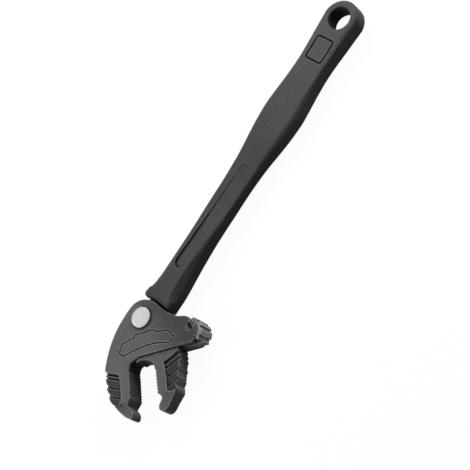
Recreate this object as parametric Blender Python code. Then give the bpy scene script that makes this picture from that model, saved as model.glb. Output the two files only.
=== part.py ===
"""Adjustable ratchet wrench: a forged head with a hook jaw and two cheeks, a handle whose toothed tongue
swings between the cheeks, and a sprung lower jaw whose rail slides along them.

The tool lies on its back. The origin is on the pivot pin's axis at the back face, +X runs along the handle,
+Y to the hook's side and +Z out of the front. The jaws are drawn in the slide frame: u is the way in which
the lower jaw opens, v the way from the pin to the jaw tips. Lengths are in metres."""

import math

import bmesh
import bpy
from mathutils import Matrix, Vector

MM = 0.001

# The whole tool
PIN_TO_HOLE = 212 * MM
HEAD_SPAN = 100 * MM  # outlines of the head and the jaw are shares of this length
SLIDE_ANGLE = math.radians(-46.4)
TRAVEL_SHARE = 0.14  # of HEAD_SPAN, how far the lower jaw slides open
JAW_TRAVEL = TRAVEL_SHARE * HEAD_SPAN

# Thicknesses, along Z
HEAD_THICK = 13 * MM
JAW_THICK = 11 * MM
HANDLE_THICK = 12 * MM
PAD_THICK = 12.4 * MM
SLOT_WIDE = 6 * MM  # between the cheeks
GROOVE_DEEP = 0.8 * MM  # of the groove in each cheek, for the rail's ribs
MIDDLE = HEAD_THICK / 2

# Gaps between pieces
FIT = 0.25 * MM  # round a pin or a sleeve, and under its head
CLOSE_FIT = 0.12 * MM  # round a pressed-in pin or a flush screw head
SLIDE_GAP = 0.4 * MM  # between the slide and the cheeks
SIDE_GAP = 0.3 * MM  # beside the rail and the tongue

# Handle
HANDLE_DROP = 1.5 * MM  # its centre line lies this far below the pin
BELLY_HALF = 12.8 * MM
EYE_RADIUS = 12 * MM
EYE_ROUND = 1.8 * MM
HOLE_RADIUS = 7.4 * MM
HOLE_CHAMFER = 0.4 * MM
HANDLE_ROUND = 3 * MM
PANEL_START_RADIUS = 3.9 * MM
PANEL_END_RADIUS = 3.5 * MM
PANEL_DEEP = 0.6 * MM
FRAME_LONG = 15 * MM  # to the middle of its engraved line
FRAME_WIDE = 12.4 * MM
FRAME_LINE = 1.2 * MM
FRAME_DEEP = 0.8 * MM
FRAME_ROUND = 1.5 * MM
TONGUE_RADIUS = 9.9 * MM
TONGUE_GAP = 1.5 * MM  # between the tongue's eye and the round end of the slot

# Pivot
PIN_RADIUS = 4 * MM
PIN_HEAD_RADIUS = 6.35 * MM
PIN_HEAD_THICK = 1 * MM
PIN_CHAMFER = 0.45 * MM
TAIL_RADIUS = 3 * MM
RING_RADIUS = 5.4 * MM
RING_THICK = 1.35 * MM
BUSHING_WALL = 1.1 * MM

# Rail and rack
RAIL_TOP_SHARE = 0.162
RAIL_TOP = RAIL_TOP_SHARE * HEAD_SPAN  # v of the rack's tooth tips
TOOTH_PITCH = 1.7 * MM
TOOTH_HIGH = 1.1 * MM
RAIL_BACK_SHARE = 0.082
RAIL_BACK = RAIL_BACK_SHARE * HEAD_SPAN  # the rail starts this far behind the pin, along u
RACK_SHARE = 0.34
RACK_LONG = RACK_SHARE * HEAD_SPAN
RAIL_STEP = 6 * MM  # length of the shallow end of the rail, which slides in the head's blind channel
CHANNEL_DROP = 1.1 * MM  # from the slide line to the floor of the blind channel
RACK_LAND_SHARE = 0.85  # of the pitch, from a tooth's root to its tip
RIB_DROP = 0.2 * MM  # from the roots of the teeth to the ribs on the rail's sides
RIB_HIGH = 1 * MM
RIB_INSET = 0.6 * MM  # the ribs start this far inside the rail's back end
NOSE_START = 3.6 * MM
NOSE_TEETH = 4
NOSE_LAND_SHARE = 0.15
NOSE_HEEL = 0.3 * MM
NOSE_GAP = 0.35 * MM

# Jaw spring, and the window in the rail that holds it
SPRING_LINE_SHARE = 0.206
SPRING_LINE = SPRING_LINE_SHARE * HEAD_SPAN  # v of the spring's axis
WINDOW_HIGH = 3.7 * MM
WINDOW_START_SHARE = 0.09
WINDOW_START = WINDOW_START_SHARE * HEAD_SPAN
SPRING_CLOSED_SHARE = 0.057
SPRING_CLOSED = SPRING_CLOSED_SHARE * HEAD_SPAN  # the room left for the spring when the jaw is fully open
SPRING_PIN_RADIUS = 1.3 * MM
SPRING_PIN_AT = WINDOW_START + JAW_TRAVEL + SPRING_CLOSED + SPRING_PIN_RADIUS
SPRING_PIN_TOP = 11.4 * MM
JAW_COIL_RADIUS = 1.3 * MM
JAW_WIRE_RADIUS = 0.3 * MM
JAW_COILS = 7

# Handle spring and plunger
PLUNGER_LINE = 4.4 * MM  # above the pin's axis
PLUNGER_RADIUS = 1.9 * MM
PLUNGER_LONG = 6.5 * MM
LAND_AT = 8.2 * MM  # the tongue's flat for the plunger is this far behind the pin
LUG_WALL = 0.9 * MM  # the flat runs this far past the plunger
PLUNGER_NOSE_STEPS = 6
HANDLE_SPRING_LONG = 8.5 * MM
HANDLE_COIL_RADIUS = 1.35 * MM
HANDLE_WIRE_RADIUS = 0.3 * MM
HANDLE_COILS = 5

# Cheek screw and spacer
SCREW_SHARES = (0.323, 0.135)
SCREW_RADIUS = 1.3 * MM
SCREW_HEAD_RADIUS = 2.25 * MM
SCREW_HEAD_THICK = 1.8 * MM
SCREW_SLOT_WIDE = 1.3 * MM
SCREW_SLOT_DEEP = 1.3 * MM
SCREW_SLOT_TURN = math.radians(68)  # as it stands in the photo
SCREW_SHORT = 0.4 * MM  # its end stands this far inside the back face
SPACER_RADIUS = 2.2 * MM

# Thumb pad
PAD_SHARES = (0.317, 0.164)
PAD_CENTRE = tuple(share * HEAD_SPAN for share in PAD_SHARES)
PAD_RADIUS_SHARE = 0.083
PAD_RADIUS = PAD_RADIUS_SHARE * HEAD_SPAN
RIDGE_HIGH_SHARE = 0.133
RIDGE_HIGH = RIDGE_HIGH_SHARE * PAD_RADIUS
PAD_EDGE_SHARE = 0.066
PAD_EDGE = PAD_EDGE_SHARE * PAD_RADIUS
PAD_GAP = 0.4 * MM
PAD_RIDGE_TURNS = ((-74, -42), (-27, -11), (1, 30))  # start and end of each ridge, about the pad's centre
PAD_FLANK_TURN = 4
PAD_HOLLOW_ARC = (44, -62)
CHEEK_END_SHARE = 0.05
CHEEK_END_RADIUS = CHEEK_END_SHARE * HEAD_SPAN
CHEEK_END_ARC = (40, -66)
STAKE_SHARE = 0.066
STAKE_RADIUS = STAKE_SHARE * HEAD_SPAN  # of the round end of the rail, which is staked into the pad
STAKE_TURN = 66
STAKE_SLOT_TURN = 88
RAIL_PAST_PAD_SHARE = 0.075
RAIL_PAST_PAD = RAIL_PAST_PAD_SHARE * HEAD_SPAN  # how far the rail runs past the pad's centre
RAIL_LIP = 1.5 * MM  # thickness of the rail's end under the pad
RAIL_SHOW = 0.3 * MM  # the rail stands this far below the jaw's shoulder

# Edges and face marks
EDGE_SHARE = 0.008
EDGE = EDGE_SHARE * HEAD_SPAN
GRIP_EDGE_SHARE = 0.0048
GRIP_EDGE = GRIP_EDGE_SHARE * HEAD_SPAN
FINE_EDGE_SHARE = 0.0035
FINE_EDGE = FINE_EDGE_SHARE * HEAD_SPAN
TIP_ROUND_SHARE = 0.007
TIP_ROUND = TIP_ROUND_SHARE * HEAD_SPAN
GRIP_SHALLOW = 0.5 * MM
GRIP_PAD = 0.9 * MM
GRIP_DEEP = 1.7 * MM
GROOVE_WALL = 0.3 * MM  # across each of a groove's steep wall and its floor
GROOVE_SLOPE = 0.6 * MM  # across its shallow side
GRIP_RUN_OUT = 5 * MM  # how far the sunk face runs past its first and last groove
HOOK_TEETH = 9
HOOK_TOOTH_SHARE = 0.004
HOOK_TOOTH_DEEP = HOOK_TOOTH_SHARE * HEAD_SPAN
JAW_TEETH = 7
JAW_TOOTH_SHARE = 0.007
JAW_TOOTH_DEEP = JAW_TOOTH_SHARE * HEAD_SPAN
TIP_THICK = 9 * MM
BADGE_LINE = 0.9 * MM
BADGE_DEEP = 0.5 * MM
MARGIN = 2 * MM  # how far a cutter runs past what it cuts
ROUND_STEPS = 3
ARC_STEPS = 10
SHORT_ARC_STEPS = 6
EYE_STEPS = 14
EYE_TURN = 84  # the eye's arc runs this far to each side of the X way
ROUND_SIDES = 40
SMALL_SIDES = 20
COIL_POINTS = 9
WIRE_SIDES = 6
SMOOTH_ANGLE = math.radians(32)

# Outline points in the slide frame, as (u, v) shares of HEAD_SPAN
SLIDE_LINE_SHARE = 0.236
TAPER_START_SHARE = 0.488
TAPER_LEVEL_SHARE = 0.545
HOOK_GRIP_SHARES = (
    ((-0.263, 0.283), (-0.268, 0.288), (-0.271, 0.295), (-0.272, 0.304)),
    ((-0.265, 0.307), (-0.272, 0.316), (-0.273, 0.328), (-0.270, 0.342), (-0.266, 0.355)),
    ((-0.259, 0.358), (-0.267, 0.368), (-0.267, 0.382), (-0.263, 0.398), (-0.256, 0.412)),
    ((-0.248, 0.416), (-0.256, 0.427), (-0.255, 0.442), (-0.247, 0.462), (-0.235, 0.483)),
)
HOOK_TIP_SHARES = ((-0.222, 0.492), (-0.199, 0.531), (-0.164, 0.570), (-0.138, 0.589), (-0.122, 0.592),
                   (-0.111, 0.585), (-0.107, 0.570), (-0.108, 0.553), (-0.116, 0.538))
HOOK_NOTCH_SHARES = ((-0.129, 0.524), (-0.132, 0.512), (-0.123, 0.499), (-0.111, 0.484))
HOOK_FLAT_SHARES = ((-0.109, 0.477), (-0.109, 0.317))
THROAT_SHARES = ((-0.107, 0.300), (-0.101, 0.278), (-0.091, 0.262), (-0.078, 0.256), (-0.062, 0.250),
                 (-0.045, 0.242))
HOOK_END_SHARE = -0.030  # along u, on the slide line
CHEEK_CORNER_SHARES = ((0.328, 0.236), (0.341, 0.230), (0.349, 0.218))
CHEEK_TOP_SHARES = ((0.326, 0.098),)
JAW_HEEL_SHARES = ((-0.029, 0), (-0.045, 0.004))  # v counted from the jaw's underside
JAW_OUTER_SHARE = 0.230
JAW_THROAT_SHARES = ((-0.062, 0.256), (-0.056, 0.266), (-0.043, 0.265), (-0.028, 0.261), (0.003, 0.265),
                     (0.033, 0.277), (0.052, 0.293), (0.061, 0.314))
JAW_FLAT_SHARES = ((0.066, 0.338), (0.072, 0.481))
JAW_NOTCH_SHARES = ((0.084, 0.493), (0.096, 0.505), (0.100, 0.517), (0.093, 0.529))
JAW_TIP_SHARES = ((0.082, 0.543), (0.074, 0.560), (0.075, 0.578), (0.086, 0.591), (0.104, 0.596),
                  (0.128, 0.587), (0.148, 0.564))
JAW_GRIP_SHARES = (
    ((0.168, 0.535), (0.187, 0.508), (0.199, 0.490), (0.200, 0.482)),
    ((0.202, 0.470), (0.197, 0.458), (0.203, 0.447), (0.214, 0.429), (0.219, 0.411), (0.214, 0.404)),
    ((0.218, 0.392), (0.218, 0.381), (0.226, 0.371), (0.230, 0.360), (0.223, 0.353)),
    ((0.228, 0.340), (0.227, 0.328), (0.234, 0.319), (0.236, 0.300), (0.236, 0.265), (0.232, 0.246)),
)

# Outline points in the tool's own frame, as (x, y) shares of HEAD_SPAN
BACK_SHARES = ((-0.030, 0.117), (-0.099, 0.115), (-0.149, 0.109), (-0.200, 0.098), (-0.250, 0.083),
               (-0.300, 0.062), (-0.346, 0.039), (-0.383, 0.017))
EDGE_SHARES = ((0.155, -0.298), (0.161, -0.272), (0.150, -0.243), (0.133, -0.217), (0.124, -0.184),
               (0.117, -0.150), (0.113, -0.110), (0.115, -0.060), (0.119, -0.020), (0.118, 0.012))
SLOT_ARC_START = 130  # degrees about the pin
TONGUE_EYE_ARC = (38, 120)
TONGUE_LOW_END = 234
NOSE_BACK_SHARES = ((0.008, 0.019), (0.016, 0.065))  # in the slide frame, from the nose's last tip
BOSS_SHARE = 0.115
BOSS_ARC = (20, 92)  # degrees about the pin
BADGE_SHARES = ((-0.250, -0.016), (-0.243, -0.003), (-0.196, 0.013), (-0.125, -0.031), (-0.106, -0.030),
                (-0.063, -0.073), (-0.014, -0.123), (-0.019, -0.138), (0.030, -0.212), (0.022, -0.272),
                (-0.021, -0.272), (-0.071, -0.188), (-0.115, -0.141), (-0.175, -0.092), (-0.245, -0.045))

# The handle's end at the head, as shares of HEAD_SPAN along it and of BELLY_HALF across
SHOULDER_SHARES = ((0.120, -0.555), (0.124, -0.164), (0.123, 0.070), (0.117, 0.437), (0.116, 0.508),
                   (0.122, 0.656))
SHOULDER_CORNER_SHARES = (0.120, 0.137)  # x of the lower and the upper corner
SHOULDER_ROUND_SHARES = (1.00, 1.20, 1.20, 1.05, 0.75, 0.60, 0.55, 0.55)  # of HANDLE_ROUND, low end first
NECK_SHARES = ((0.044, -0.950), (0.119, -0.952), (0.200, -0.800), (0.200, 0.390), (0.120, 0.390))

# Places on the handle, as shares of PIN_TO_HOLE along it and of BELLY_HALF across
PANEL_START_SHARES = (0.190, -0.078)  # centres of the sunk panel's round ends
PANEL_END_SHARES = (0.501, -0.172)
FRAME_SHARES = (0.897, -0.148)

# The grip's sunk faces, as (u, v) shares of HEAD_SPAN, and the lines of their steps
HOOK_FACE_SHARES = ((-0.300, 0.266), (-0.178, 0.314), (-0.173, 0.350), (-0.170, 0.394), (-0.168, 0.452),
                    (-0.170, 0.475), (-0.190, 0.500), (-0.270, 0.480))
HOOK_STEP_SHARES = ((-0.257, 0.303), (-0.175, 0.336))
HOOK_GROOVE_SHARES = (-0.014, 0.006, 0.059, 0.112)  # from the first step's line
JAW_FACE_SHARES = ((0.126, 0.307), (0.132, 0.345), (0.136, 0.386), (0.140, 0.432), (0.138, 0.473),
                   (0.145, 0.484), (0.167, 0.494), (0.300, 0.470), (0.300, 0.227))
JAW_STEP_SHARES = ((0.133, 0.349), (0.235, 0.302))
JAW_GROOVE_SHARES = (-0.033, -0.006, 0.045, 0.096)

# Handle stations: (share of PIN_TO_HOLE along X, share of BELLY_HALF for the half width)
HANDLE_SHARES = ((0.085, 0.850), (0.14, 0.760), (0.20, 0.675), (0.255, 0.625), (0.31, 0.595), (0.40, 0.595),
                 (0.46, 0.615), (0.53, 0.700), (0.59, 0.850), (0.635, 0.950), (0.685, 1.000), (0.71, 0.985),
                 (0.735, 0.945), (0.765, 0.890), (0.80, 0.835), (0.85, 0.797), (0.90, 0.820), (0.95, 0.870))


def on_slide(u, v):
    """The tool's (x, y) of a point of the slide frame."""
    c, s = math.cos(SLIDE_ANGLE), math.sin(SLIDE_ANGLE)
    return u * c + v * s, u * s - v * c


def slide_points(shares):
    return [on_slide(u * HEAD_SPAN, v * HEAD_SPAN) for u, v in shares]


def tool_points(shares):
    return [(x * HEAD_SPAN, y * HEAD_SPAN) for x, y in shares]


def on_handle(shares):
    return shares[0] * PIN_TO_HOLE, shares[1] * BELLY_HALF


def handle_end_points(shares):
    return [(x * HEAD_SPAN, y * BELLY_HALF) for x, y in shares]


def screw_at():
    return slide_points([SCREW_SHARES])[0]


def spline(t, p, q, r, s):
    """A value between q and r on the curve that runs evenly through p, q, r and s."""
    square = 2 * p - 5 * q + 4 * r - s
    cube = 3 * q - p - 3 * r + s
    return (2 * q + (r - p) * t + square * t ** 2 + cube * t ** 3) / 2


def smooth(points, parts):
    """The same line with each stretch split into parts along a curve through its points."""
    ends = [points[0]] + list(points) + [points[-1]]
    line = []
    for a, b, c, d in zip(ends, ends[1:], ends[2:], ends[3:]):
        for k in range(parts):
            t = k / parts
            line.append(tuple(spline(t, *four) for four in zip(a, b, c, d)))
    return line + [points[-1]]


def on_circle(centre, radius, turn):
    """A point of a circle, its turn in degrees."""
    turn = math.radians(turn)
    return centre[0] + radius * math.cos(turn), centre[1] + radius * math.sin(turn)


def arc(centre, radius, start, end, parts=ARC_STEPS):
    """Points of an arc, its ends in degrees."""
    return [on_circle(centre, radius, start + (end - start) * k / parts) for k in range(parts + 1)]


def toothed(start, end, count, depth):
    """A line of teeth whose tips lie on start to end. The valleys lie to the right of that way."""
    a, b = Vector(start), Vector(end)
    step = (b - a) / count
    right = Vector((step.y, -step.x)).normalized() * depth
    line = []
    for k in range(count):
        line += [tuple(a + step * k), tuple(a + step * (k + 1 / 2) + right)]
    return line + [end]


def edged(points, radius):
    """Outline points, each with the radius of the plate's edge there."""
    return [(x, y, radius) for x, y in points]


def counter_clockwise(points):
    area = sum(a[0] * b[1] - b[0] * a[1] for a, b in zip(points, points[1:] + points[:1]))
    return points if area > 0 else points[::-1]


def mitres(points):
    """For each point of a closed line, the step that moves both of its sides inwards by one unit."""
    steps = []
    for before, here, after in zip(points[-1:] + points[:-1], points, points[1:] + points[:1]):
        a = (Vector(here[:2]) - Vector(before[:2])).normalized()
        b = (Vector(after[:2]) - Vector(here[:2])).normalized()
        across = Vector((-a.y - b.y, a.x + b.x))
        steps.append(across / max(1 + a.dot(b), 0.5))
    return steps


def mesh_object(name, points, faces):
    mesh = bpy.data.meshes.new(name)
    mesh.from_pydata(points, [], faces)
    mesh.validate()
    work = bmesh.new()
    work.from_mesh(mesh)
    bmesh.ops.recalc_face_normals(work, faces=work.faces)
    work.to_mesh(mesh)
    work.free()
    made = bpy.data.objects.new(name, mesh)
    bpy.context.scene.collection.objects.link(made)
    return made


def stacked(name, layers):
    """A body whose layers are closed lines of as many points each, with a flat lid at each end."""
    count = len(layers[0])
    points = [point for layer in layers for point in layer]
    faces = [tuple(range(count))[::-1], tuple(range(len(points) - count, len(points)))]
    for first in range(0, len(points) - count, count):
        for k in range(count):
            after = (k + 1) % count
            faces.append((first + k, first + after, first + count + after, first + count + k))
    return mesh_object(name, points, faces)


def rounded_plate(name, outline, bottom, top, steps=ROUND_STEPS):
    """A plate whose edges are rounded by the radius that each outline point holds."""
    outline = counter_clockwise(outline)
    inward = mitres(outline)
    turns = [math.pi / 2 * k / steps for k in range(steps + 1)]
    lower = []
    for t in turns:
        side, rise = 1 - math.sin(t), 1 - math.cos(t)
        lower.append([(x + m.x * r * side, y + m.y * r * side, bottom + r * rise)
                      for (x, y, r), m in zip(outline, inward)])
    upper = [[(x, y, top + bottom - z) for x, y, z in layer] for layer in lower[::-1]]
    return stacked(name, lower + upper)


def plate(name, outline, bottom, top):
    outline = counter_clockwise([(x, y) for x, y, *_ in outline])
    return stacked(name, [[(x, y, z) for x, y in outline] for z in (bottom, top)])


def turned(name, profile, centre, sides=ROUND_SIDES):
    """A body turned about the upright axis at centre, from its outside line of (radius, z) points."""
    last = 360 - 360 / sides
    layers = [[(x, y, z) for x, y in arc(centre, radius, 0, last, sides - 1)] for radius, z in profile]
    return stacked(name, layers)


def cylinder(name, centre, radius, bottom, top, sides=ROUND_SIDES):
    return turned(name, [(radius, bottom), (radius, top)], centre, sides)


def combine(target, other, operation):
    """Changes target by other with an exact Boolean, and removes other."""
    modifier = target.modifiers.new("combine", "BOOLEAN")
    modifier.operation = operation
    modifier.solver = "EXACT"
    modifier.object = other
    graph = bpy.context.evaluated_depsgraph_get()
    mesh = bpy.data.meshes.new_from_object(target.evaluated_get(graph))
    target.modifiers.clear()
    target.data = mesh
    bpy.data.objects.remove(other)
    return target


def cut(target, *others):
    for other in others:
        combine(target, other, "DIFFERENCE")
    return target


def join(target, *others):
    for other in others:
        combine(target, other, "UNION")
    return target


def bored(target, centre, radius, bottom, top, sides=ROUND_SIDES):
    return cut(target, cylinder("bore", centre, radius, bottom, top, sides))


def both_faces(thick):
    """The outer face of each side of the tool and the way into it, for a piece this thick."""
    return ((MIDDLE + thick / 2, -1), (MIDDLE - thick / 2, 1))


def grip_cutter(face_shares, step_shares, groove_shares, face, way):
    """The sunk face of a grip with its grooves, as a cutter that starts outside the face."""
    a, b = (Vector(p) for p in slide_points(step_shares))
    along = (b - a).normalized()
    across = Vector((along.y, -along.x))
    if across.dot(Vector(on_slide(0, 1))) < 0:
        across = -across
    first, out = a.dot(across), -way * MARGIN
    profile = [(first + groove_shares[0] * HEAD_SPAN - GRIP_RUN_OUT, out)]
    for share in groove_shares:
        groove = first + share * HEAD_SPAN
        floor = groove + 2 * GROOVE_WALL
        profile += [(groove, way * GRIP_PAD), (groove + GROOVE_WALL, way * GRIP_DEEP),
                    (floor, way * GRIP_DEEP), (floor + GROOVE_SLOPE, way * GRIP_SHALLOW)]
    last = profile[-1][0] + GRIP_RUN_OUT
    profile += [(last, way * GRIP_PAD), (last, out)]
    reach, middle = HEAD_SPAN / 2, a.dot(along)
    ends = [[(*(along * (middle + side) + across * t), face + z) for t, z in profile]
            for side in (-reach, reach)]
    pocket = plate("pocket", slide_points(face_shares), face - GRIP_DEEP - MARGIN, face + GRIP_DEEP + MARGIN)
    return combine(stacked("grooves", ends), pocket, "INTERSECT")


def taper_cutter(thick, face, way):
    """Thins the jaw tips: a slope across them, then level to their ends."""
    start, level = TAPER_START_SHARE * HEAD_SPAN, TAPER_LEVEL_SHARE * HEAD_SPAN
    deep = (thick - TIP_THICK) / 2
    profile = ((start, 0), (level, way * deep), (HEAD_SPAN, way * deep), (HEAD_SPAN, -way * MARGIN),
               (start - (level - start) * MARGIN / deep, -way * MARGIN))
    ends = [[(*on_slide(u, v), face + z) for v, z in profile] for u in (-HEAD_SPAN / 2, HEAD_SPAN / 2)]
    return stacked("taper", ends)


def line_cutter(name, outline, wide, deep, face):
    """An engraved line along a closed outline."""
    outline = counter_clockwise(outline)
    outer, inner = ([(x + m.x * side, y + m.y * side) for (x, y), m in zip(outline, mitres(outline))]
                    for side in (-wide / 2, wide / 2))
    ring = plate(name, outer, face - deep, face + deep)
    return cut(ring, plate("core", inner, face - deep - MARGIN, face + deep + MARGIN))


def rounded_box_outline(centre, long, wide, radius):
    """A box outline with round corners, its long sides along X."""
    reach, half = long / 2 - radius, wide / 2 - radius
    line = []
    for turn, a, b in ((0, 1, 1), (90, -1, 1), (180, -1, -1), (270, 1, -1)):
        line += arc((centre[0] + a * reach, centre[1] + b * half), radius, turn, turn + 90, SHORT_ARC_STEPS)
    return line


def head_outline():
    back = smooth(tool_points(BACK_SHARES), 2)
    grips = [point for run in HOOK_GRIP_SHARES for point in slide_points(run)]
    tip = smooth(slide_points(HOOK_TIP_SHARES), 2)
    flat = [tuple(p) for p in slide_points(HOOK_FLAT_SHARES)]
    round_end = [on_slide(*point) for point in arc(PAD_CENTRE, CHEEK_END_RADIUS, *CHEEK_END_ARC)]
    end = slide_points(CHEEK_CORNER_SHARES) + round_end + slide_points(CHEEK_TOP_SHARES)
    edge = smooth(tool_points(EDGE_SHARES), 2)
    boss = arc((0, 0), BOSS_SHARE * HEAD_SPAN, *BOSS_ARC)
    hook_end = slide_points([(HOOK_END_SHARE, SLIDE_LINE_SHARE)])
    return (
        edged(boss, EDGE) + edged(back, EDGE) + edged(grips, GRIP_EDGE) + edged(tip, TIP_ROUND)
        + edged(slide_points(HOOK_NOTCH_SHARES), EDGE)
        + edged(toothed(flat[0], flat[1], HOOK_TEETH, HOOK_TOOTH_DEEP), FINE_EDGE)
        + edged(smooth(slide_points(THROAT_SHARES), 2), EDGE) + edged(hook_end + end, FINE_EDGE)
        + edged(edge, EDGE)
    )


def slot_outline():
    """The space between the cheeks: round the tongue, down to the slide line, open on the handle's side."""
    back = -RAIL_BACK - SLIDE_GAP
    front = back + RAIL_STEP
    top = RAIL_TOP - SLIDE_GAP
    far = HEAD_SPAN
    radius = TONGUE_RADIUS + TONGUE_GAP
    meet_x, meet_y = on_slide(front, math.sqrt(radius ** 2 - front ** 2))
    around = arc((0, 0), radius, SLOT_ARC_START, math.degrees(math.atan2(meet_y, meet_x)) % 360)
    low, past = channel_floor(), SLIDE_LINE_SHARE * HEAD_SPAN + MARGIN
    rail = [on_slide(front, top), on_slide(back, top), on_slide(back, low), on_slide(front, low),
            on_slide(front, past), on_slide(far, past)]
    return around + rail + [(far, far), (around[0][0], far)]


def channel_floor():
    """v of the floor of the blind channel behind the pin."""
    return SLIDE_LINE_SHARE * HEAD_SPAN - CHANNEL_DROP


def rail_bottom():
    return SLIDE_LINE_SHARE * HEAD_SPAN + SLIDE_GAP


def slide_box(u0, u1, v0, v1):
    """A box outline whose sides lie along the slide frame."""
    return [on_slide(u, v) for u, v in ((u0, v0), (u1, v0), (u1, v1), (u0, v1))]


def make_head():
    head = rounded_plate("head", head_outline(), 0, HEAD_THICK)
    slot = (MIDDLE - SLOT_WIDE / 2, MIDDLE + SLOT_WIDE / 2)
    rib_v = RAIL_TOP + TOOTH_HIGH + RIB_DROP
    groove_start = RIB_INSET - RAIL_BACK - SLIDE_GAP
    groove = slide_box(groove_start, HEAD_SPAN, rib_v - SIDE_GAP, rib_v + RIB_HIGH + SIDE_GAP)
    cut(head, plate("slot", slot_outline(), *slot))
    cut(head, plate("groove", groove, slot[0] - GROOVE_DEEP, slot[1] + GROOVE_DEEP))
    for face, way in both_faces(HEAD_THICK):
        cut(head, grip_cutter(HOOK_FACE_SHARES, HOOK_STEP_SHARES, HOOK_GROOVE_SHARES, face, way))
        cut(head, taper_cutter(HEAD_THICK, face, way))
    cut(head, line_cutter("badge", tool_points(BADGE_SHARES), BADGE_LINE, BADGE_DEEP, HEAD_THICK))
    bored(head, (0, 0), PIN_RADIUS + FIT, -MARGIN, HEAD_THICK + MARGIN)
    bored(head, (0, 0), RING_RADIUS + FIT, -MARGIN, RING_THICK + FIT)
    spring_pin = on_slide(SPRING_PIN_AT, SPRING_LINE)
    bored(head, spring_pin, SPRING_PIN_RADIUS + CLOSE_FIT, -MARGIN, SPRING_PIN_TOP + FIT, SMALL_SIDES)
    screw = screw_at()
    bored(head, screw, SCREW_RADIUS + FIT, -MARGIN, HEAD_THICK + MARGIN, SMALL_SIDES)
    bored(head, screw, SCREW_HEAD_RADIUS + CLOSE_FIT, HEAD_THICK - SCREW_HEAD_THICK - FIT,
          HEAD_THICK + MARGIN, SMALL_SIDES)
    tunnel_end = LAND_AT + FIT + PLUNGER_LONG + HANDLE_SPRING_LONG + 2 * FIT
    tunnel = cylinder("tunnel", (0, 0), PLUNGER_RADIUS + FIT, 0, tunnel_end, SMALL_SIDES)
    tunnel.data.transform(backwards(0))
    return cut(head, tunnel)


def jaw_outline():
    shoulder = rail_bottom()
    flat = slide_points(JAW_FLAT_SHARES)
    grips = [point for run in JAW_GRIP_SHARES for point in slide_points(run)]
    heel = [on_slide(u * HEAD_SPAN, shoulder + v * HEAD_SPAN) for u, v in JAW_HEEL_SHARES]
    return (
        edged(heel, FINE_EDGE) + edged(smooth(slide_points(JAW_THROAT_SHARES), 2), GRIP_EDGE)
        + edged(toothed(flat[1], flat[0], JAW_TEETH, JAW_TOOTH_DEEP)[::-1], FINE_EDGE)
        + edged(slide_points(JAW_NOTCH_SHARES), EDGE)
        + edged(smooth(slide_points(JAW_TIP_SHARES), 2), TIP_ROUND)
        + edged(grips, GRIP_EDGE) + edged([on_slide(JAW_OUTER_SHARE * HEAD_SPAN, shoulder)], FINE_EDGE)
    )


def rail_outline():
    """The rail from the side: the rack on top, the shallow end at the back, the staked end at the front."""
    back, top = -RAIL_BACK, RAIL_TOP
    count = round(RACK_LONG / TOOTH_PITCH)
    rack_end = back + count * TOOTH_PITCH
    rack = [(back + TOOTH_PITCH * (k + part), top + TOOTH_HIGH * low)
            for k in range(count) for part, low in ((0, 1), (RACK_LAND_SHARE, 0))]
    low = channel_floor() - SLIDE_GAP
    bottom = rail_bottom() + RAIL_SHOW
    stake_start = math.degrees(math.asin((top + TOOTH_HIGH - PAD_CENTRE[1]) / STAKE_RADIUS))
    stake = arc(PAD_CENTRE, STAKE_RADIUS, stake_start, STAKE_TURN, SHORT_ARC_STEPS)
    end = PAD_CENTRE[0] + RAIL_PAST_PAD
    rest = [(rack_end, top + TOOTH_HIGH)] + stake + [
        (stake[-1][0], bottom - RAIL_LIP), (end, bottom - RAIL_LIP), (end, bottom),
        (back + RAIL_STEP, bottom), (back + RAIL_STEP, low), (back, low)]
    return [on_slide(u, v) for u, v in rack + rest]


def make_movable_jaw():
    low, high = MIDDLE - JAW_THICK / 2, MIDDLE + JAW_THICK / 2
    jaw = rounded_plate("movable_jaw", jaw_outline(), low, high)
    for face, way in both_faces(JAW_THICK):
        cut(jaw, grip_cutter(JAW_FACE_SHARES, JAW_STEP_SHARES, JAW_GROOVE_SHARES, face, way))
        cut(jaw, taper_cutter(JAW_THICK, face, way))
    half = SLOT_WIDE / 2 - SIDE_GAP
    rail = plate("rail", rail_outline(), MIDDLE - half, MIDDLE + half)
    rib_v = RAIL_TOP + TOOTH_HIGH + RIB_DROP
    out = half + GROOVE_DEEP
    ribs = slide_box(RIB_INSET - RAIL_BACK, RACK_LONG - RAIL_BACK, rib_v, rib_v + RIB_HIGH)
    join(rail, plate("ribs", ribs, MIDDLE - out, MIDDLE + out))
    window_end = SPRING_PIN_AT + SPRING_PIN_RADIUS + PAD_GAP + SIDE_GAP
    window = slide_box(WINDOW_START, window_end, SPRING_LINE - WINDOW_HIGH / 2, SPRING_LINE + WINDOW_HIGH / 2)
    cut(rail, plate("window", window, -MARGIN, HEAD_THICK + MARGIN))
    return join(jaw, rail)


def pad_outline():
    """A crescent about the cheeks' round end, its outside ridged."""
    cu, cv = PAD_CENTRE
    inner = CHEEK_END_RADIUS + PAD_GAP
    ridges = []
    for start, end in PAD_RIDGE_TURNS:
        ridges.append(on_circle(PAD_CENTRE, PAD_RADIUS - RIDGE_HIGH, start - PAD_FLANK_TURN))
        ridges += arc(PAD_CENTRE, PAD_RADIUS, start, end, ROUND_STEPS)
        ridges.append(on_circle(PAD_CENTRE, PAD_RADIUS - RIDGE_HIGH, end + PAD_FLANK_TURN))
    foot_v = rail_bottom() + RAIL_SHOW - RAIL_LIP - SIDE_GAP
    hollow = arc(PAD_CENTRE, inner, *PAD_HOLLOW_ARC)
    foot = [(cu + math.sqrt(PAD_RADIUS ** 2 - (foot_v - cv) ** 2), foot_v), (hollow[0][0], foot_v)]
    return [on_slide(u, v) for u, v in ridges + foot + hollow]


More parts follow.
